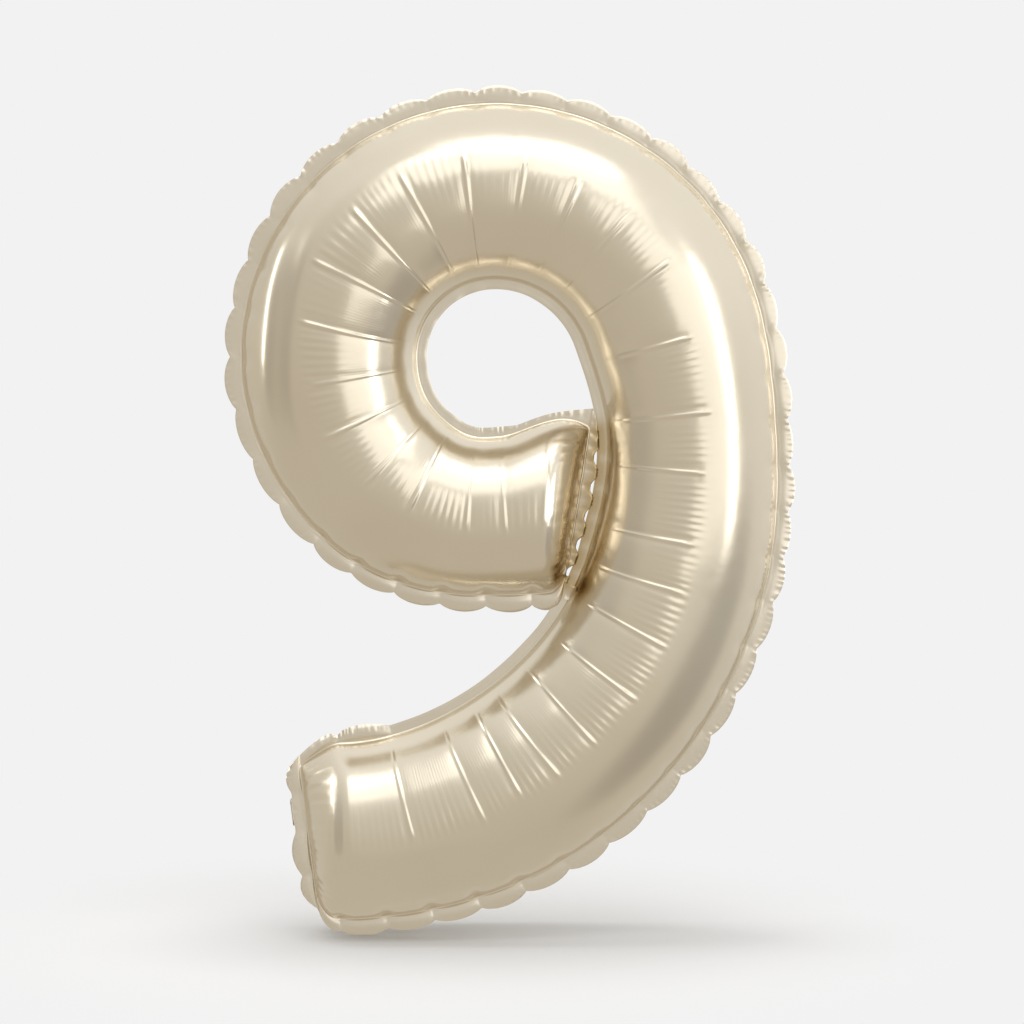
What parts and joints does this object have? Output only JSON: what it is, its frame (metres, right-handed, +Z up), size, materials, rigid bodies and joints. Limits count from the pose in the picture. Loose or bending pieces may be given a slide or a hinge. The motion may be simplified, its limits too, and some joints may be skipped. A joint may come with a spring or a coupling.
{
  "type": "foil number balloon",
  "caption": "Inflated foil number balloon in the shape of a nine, with two heat-sealed panels, a scalloped seam and a folding filling tail with a self-sealing valve.",
  "frame": {"origin": "on the ground plane, under the middle of the figure, in the plane where the two panels are sealed together", "axes": "+Z up the figure, +X to the figure's right as read from the front, front of the digit faces -Y"},
  "size_m": [0.5794, 0.1596, 0.8685],
  "materials": {
    "foil": "satin champagne metallised film",
    "valve_film": "clear polyethylene film"
  },
  "bodies": {
    "balloon": {"front_panel": "foil", "back_panel": "foil"},
    "tail": {"tail_front_ply": "foil", "tail_back_ply": "foil", "neck_film_front": "valve_film", "neck_film_back": "valve_film"},
    "valve_front": {"valve_film_front": "valve_film"},
    "valve_back": {"valve_film_back": "valve_film"}
  },
  "joints": [
    {"name": "tail_fold", "type": "hinge", "parent": "balloon", "child": "tail", "pos_m": [-0.2243, 0, 0.12614], "axis": [0.1219, 0, -0.9925], "range_deg": [-95, 20]},
    {"name": "valve_lip_front", "type": "hinge", "parent": "balloon", "child": "valve_front", "pos_m": [-0.20722, -0.00035, 0.12824], "axis": [0.1219, 0, -0.9925], "range_deg": [0, 6]},
    {"name": "valve_lip_back", "type": "hinge", "parent": "balloon", "child": "valve_back", "pos_m": [-0.20722, 0.00035, 0.12824], "axis": [0.1219, 0, -0.9925], "range_deg": [-6, 0]}
  ],
  "couplings": [
    {"joint": "valve_lip_back", "follows": "valve_lip_front", "ratio": -1}
  ]
}
